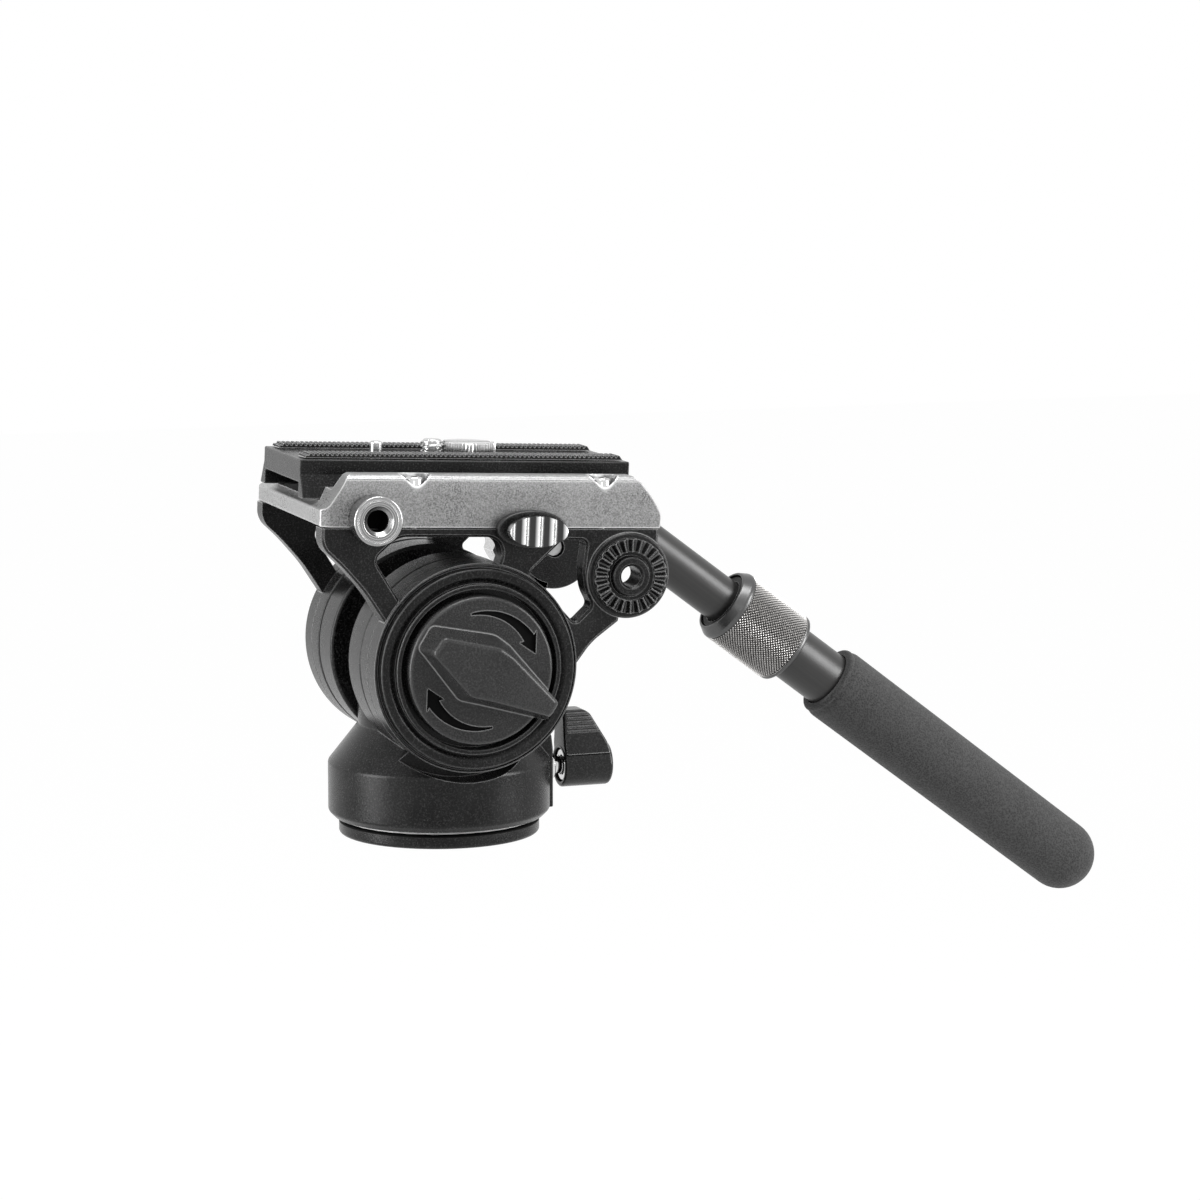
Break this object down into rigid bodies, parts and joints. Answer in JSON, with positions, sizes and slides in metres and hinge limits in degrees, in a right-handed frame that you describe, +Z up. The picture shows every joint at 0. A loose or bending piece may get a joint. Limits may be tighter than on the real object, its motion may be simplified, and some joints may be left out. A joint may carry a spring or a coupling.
{
  "type": "video tripod head",
  "caption": "Fluid pan and tilt head for a tripod, with a sliding camera plate between two side brackets, lock knobs and a telescopic pan bar.",
  "frame": {"origin": "centre of the base's underside, at the mouth of the tripod thread", "axes": "+Z up along the pan axis, +X to the rear where the pan bar points, -Y to the side with the tilt lock knob"},
  "size_m": [0.2634, 0.1086, 0.149],
  "materials": {
    "black_cast": "fine textured satin black paint",
    "silver_cast": "grainy metallic silver grey paint",
    "knob_plastic": "dark grey satin",
    "black_plastic": "satin black",
    "silver": "satin turned",
    "steel": "machined",
    "chrome": "polished",
    "brass": "turned",
    "gunmetal": "satin dark grey anodised tube",
    "titanium": "titanium grey, diamond knurled",
    "foam": "soft closed-cell foam, charcoal",
    "rubber": "ribbed black rubber",
    "slip": "smooth ivory slip plastic"
  },
  "bodies": {
    "base": {"base_plate": "black_cast", "tripod_thread_insert": "brass", "base_screw_1": "steel", "base_screw_2": "steel", "base_screw_3": "steel", "pan_axle": "steel", "pan_drag_disc": "steel", "pan_thrust_washer": "slip", "pan_axle_nut": "steel"},
    "pan": {"pan_housing": "black_cast", "pan_bearing": "chrome", "near_bearing_carrier": "steel", "far_bearing_carrier": "steel", "near_tilt_bearing": "chrome", "far_tilt_bearing": "chrome", "counterbalance_spring": "steel"},
    "pan_brake": {"pan_brake_shoe": "brass"},
    "pan_lock": {"pan_lock_knob": "black_plastic", "pan_lock_screw": "chrome"},
    "cradle": {"near_bracket": "black_cast", "far_bracket": "black_cast", "platform_housing": "silver_cast", "near_front_housing_screw": "chrome", "near_rear_housing_screw": "chrome", "far_front_housing_screw": "chrome", "far_rear_housing_screw": "chrome", "accessory_boss": "silver", "tilt_axle": "steel", "near_drag_rotor": "steel", "far_drag_rotor": "steel", "far_hub_bush": "brass", "far_axle_nut": "steel", "far_hub_cap": "black_plastic", "button_bezel": "black_plastic"},
    "tilt_brake": {"tilt_brake_plate": "steel"},
    "tilt_lock": {"tilt_lock_knob": "knob_plastic"},
    "release": {"release_button": "silver", "plate_latch": "steel"},
    "plate": {"camera_plate": "black_cast", "near_rubber_strip": "rubber", "far_rubber_strip": "rubber", "video_pin_spring": "steel"},
    "camera_screw": {"camera_screw": "silver"},
    "spare_screw": {"spare_screw": "silver"},
    "video_pin": {"video_pin": "silver"},
    "plate_lock": {"plate_lock_lever": "silver"},
    "jaw": {"clamp_jaw": "silver_cast", "plate_lock_screw": "steel"},
    "bar": {"bar_clamp": "black_cast", "bar_set_screw": "steel", "inner_tube": "gunmetal", "tube_plug": "black_plastic"},
    "bar_lock": {"clamp_bolt": "steel", "clamp_knob": "silver"},
    "extension": {"outer_tube": "gunmetal", "foam_grip": "foam", "collet": "slip", "collar_seal": "rubber"},
    "collar": {"lock_collar": "titanium"}
  },
  "joints": [
    {"name": "pan", "type": "hinge", "parent": "base", "child": "pan", "pos_m": [0, 0, 0.01], "axis": [0, 0, 1], "continuous": true},
    {"name": "pan_lock", "type": "hinge", "parent": "pan", "child": "pan_lock", "pos_m": [0.04, 0, 0.0159], "axis": [1, 0, 0], "range_deg": [-90, 90]},
    {"name": "pan_brake", "type": "slide", "parent": "pan", "child": "pan_brake", "axis": [1, 0, 0], "range_m": [-0.00026, 0.00026]},
    {"name": "tilt", "type": "hinge", "parent": "pan", "child": "cradle", "pos_m": [0, 0, 0.0497], "axis": [0, 1, 0], "range_deg": [-85, 65]},
    {"name": "tilt_lock", "type": "hinge", "parent": "cradle", "child": "tilt_lock", "pos_m": [0, -0.038, 0.0497], "axis": [0, 1, 0], "range_deg": [-90, 90]},
    {"name": "tilt_brake", "type": "slide", "parent": "cradle", "child": "tilt_brake", "axis": [0, 1, 0], "range_m": [-0.00026, 0.00026]},
    {"name": "release", "type": "slide", "parent": "cradle", "child": "release", "axis": [0, 1, 0], "range_m": [0, 0.0022], "stiffness_N_per_m": 500, "springref_m": -0.002},
    {"name": "plate_slide", "type": "slide", "parent": "cradle", "child": "plate", "axis": [0.999, 0, -0.044], "range_m": [-0.02, 0.02]},
    {"name": "camera_screw", "type": "hinge", "parent": "plate", "child": "camera_screw", "pos_m": [-0.0017, 0, 0.09982], "axis": [0.044, 0, 0.999], "continuous": true},
    {"name": "spare_screw", "type": "hinge", "parent": "plate", "child": "spare_screw", "pos_m": [0.00869, 0, 0.09937], "axis": [0.044, 0, 0.999], "continuous": true},
    {"name": "video_pin", "type": "slide", "parent": "plate", "child": "video_pin", "axis": [-0.044, 0, -0.999], "range_m": [0, 0.0026], "stiffness_N_per_m": 400, "springref_m": -0.001, "deforming": ["video_pin_spring"]},
    {"name": "plate_lock", "type": "hinge", "parent": "cradle", "child": "plate_lock", "pos_m": [-0.00402, 0.036, 0.09477], "axis": [0, 1, 0], "range_deg": [-100, 0]},
    {"name": "jaw", "type": "slide", "parent": "cradle", "child": "jaw", "axis": [0, 1, 0], "range_m": [0, 0.0009]},
    {"name": "bar_angle", "type": "hinge", "parent": "cradle", "child": "bar", "pos_m": [0.04284, 0.036, 0.07244], "axis": [0, 1, 0], "range_deg": [-80, 45]},
    {"name": "bar_lock", "type": "hinge", "parent": "cradle", "child": "bar_lock", "pos_m": [0.04284, 0.05, 0.07244], "axis": [0, 1, 0], "range_deg": [-180, 180]},
    {"name": "bar_length", "type": "slide", "parent": "bar", "child": "extension", "axis": [0.7995, 0, -0.6007], "range_m": [0, 0.07]},
    {"name": "collar", "type": "hinge", "parent": "extension", "child": "collar", "pos_m": [0.10974, 0.0446, 0.04494], "axis": [0.7995, 0, -0.6007], "range_deg": [-90, 90]}
  ],
  "couplings": [
    {"joint": "pan_brake", "follows": "pan_lock", "m_per_rad": 0.000159},
    {"joint": "tilt_brake", "follows": "tilt_lock", "m_per_rad": 0.000159},
    {"joint": "jaw", "follows": "plate_lock", "m_per_rad": -0.00051}
  ]
}
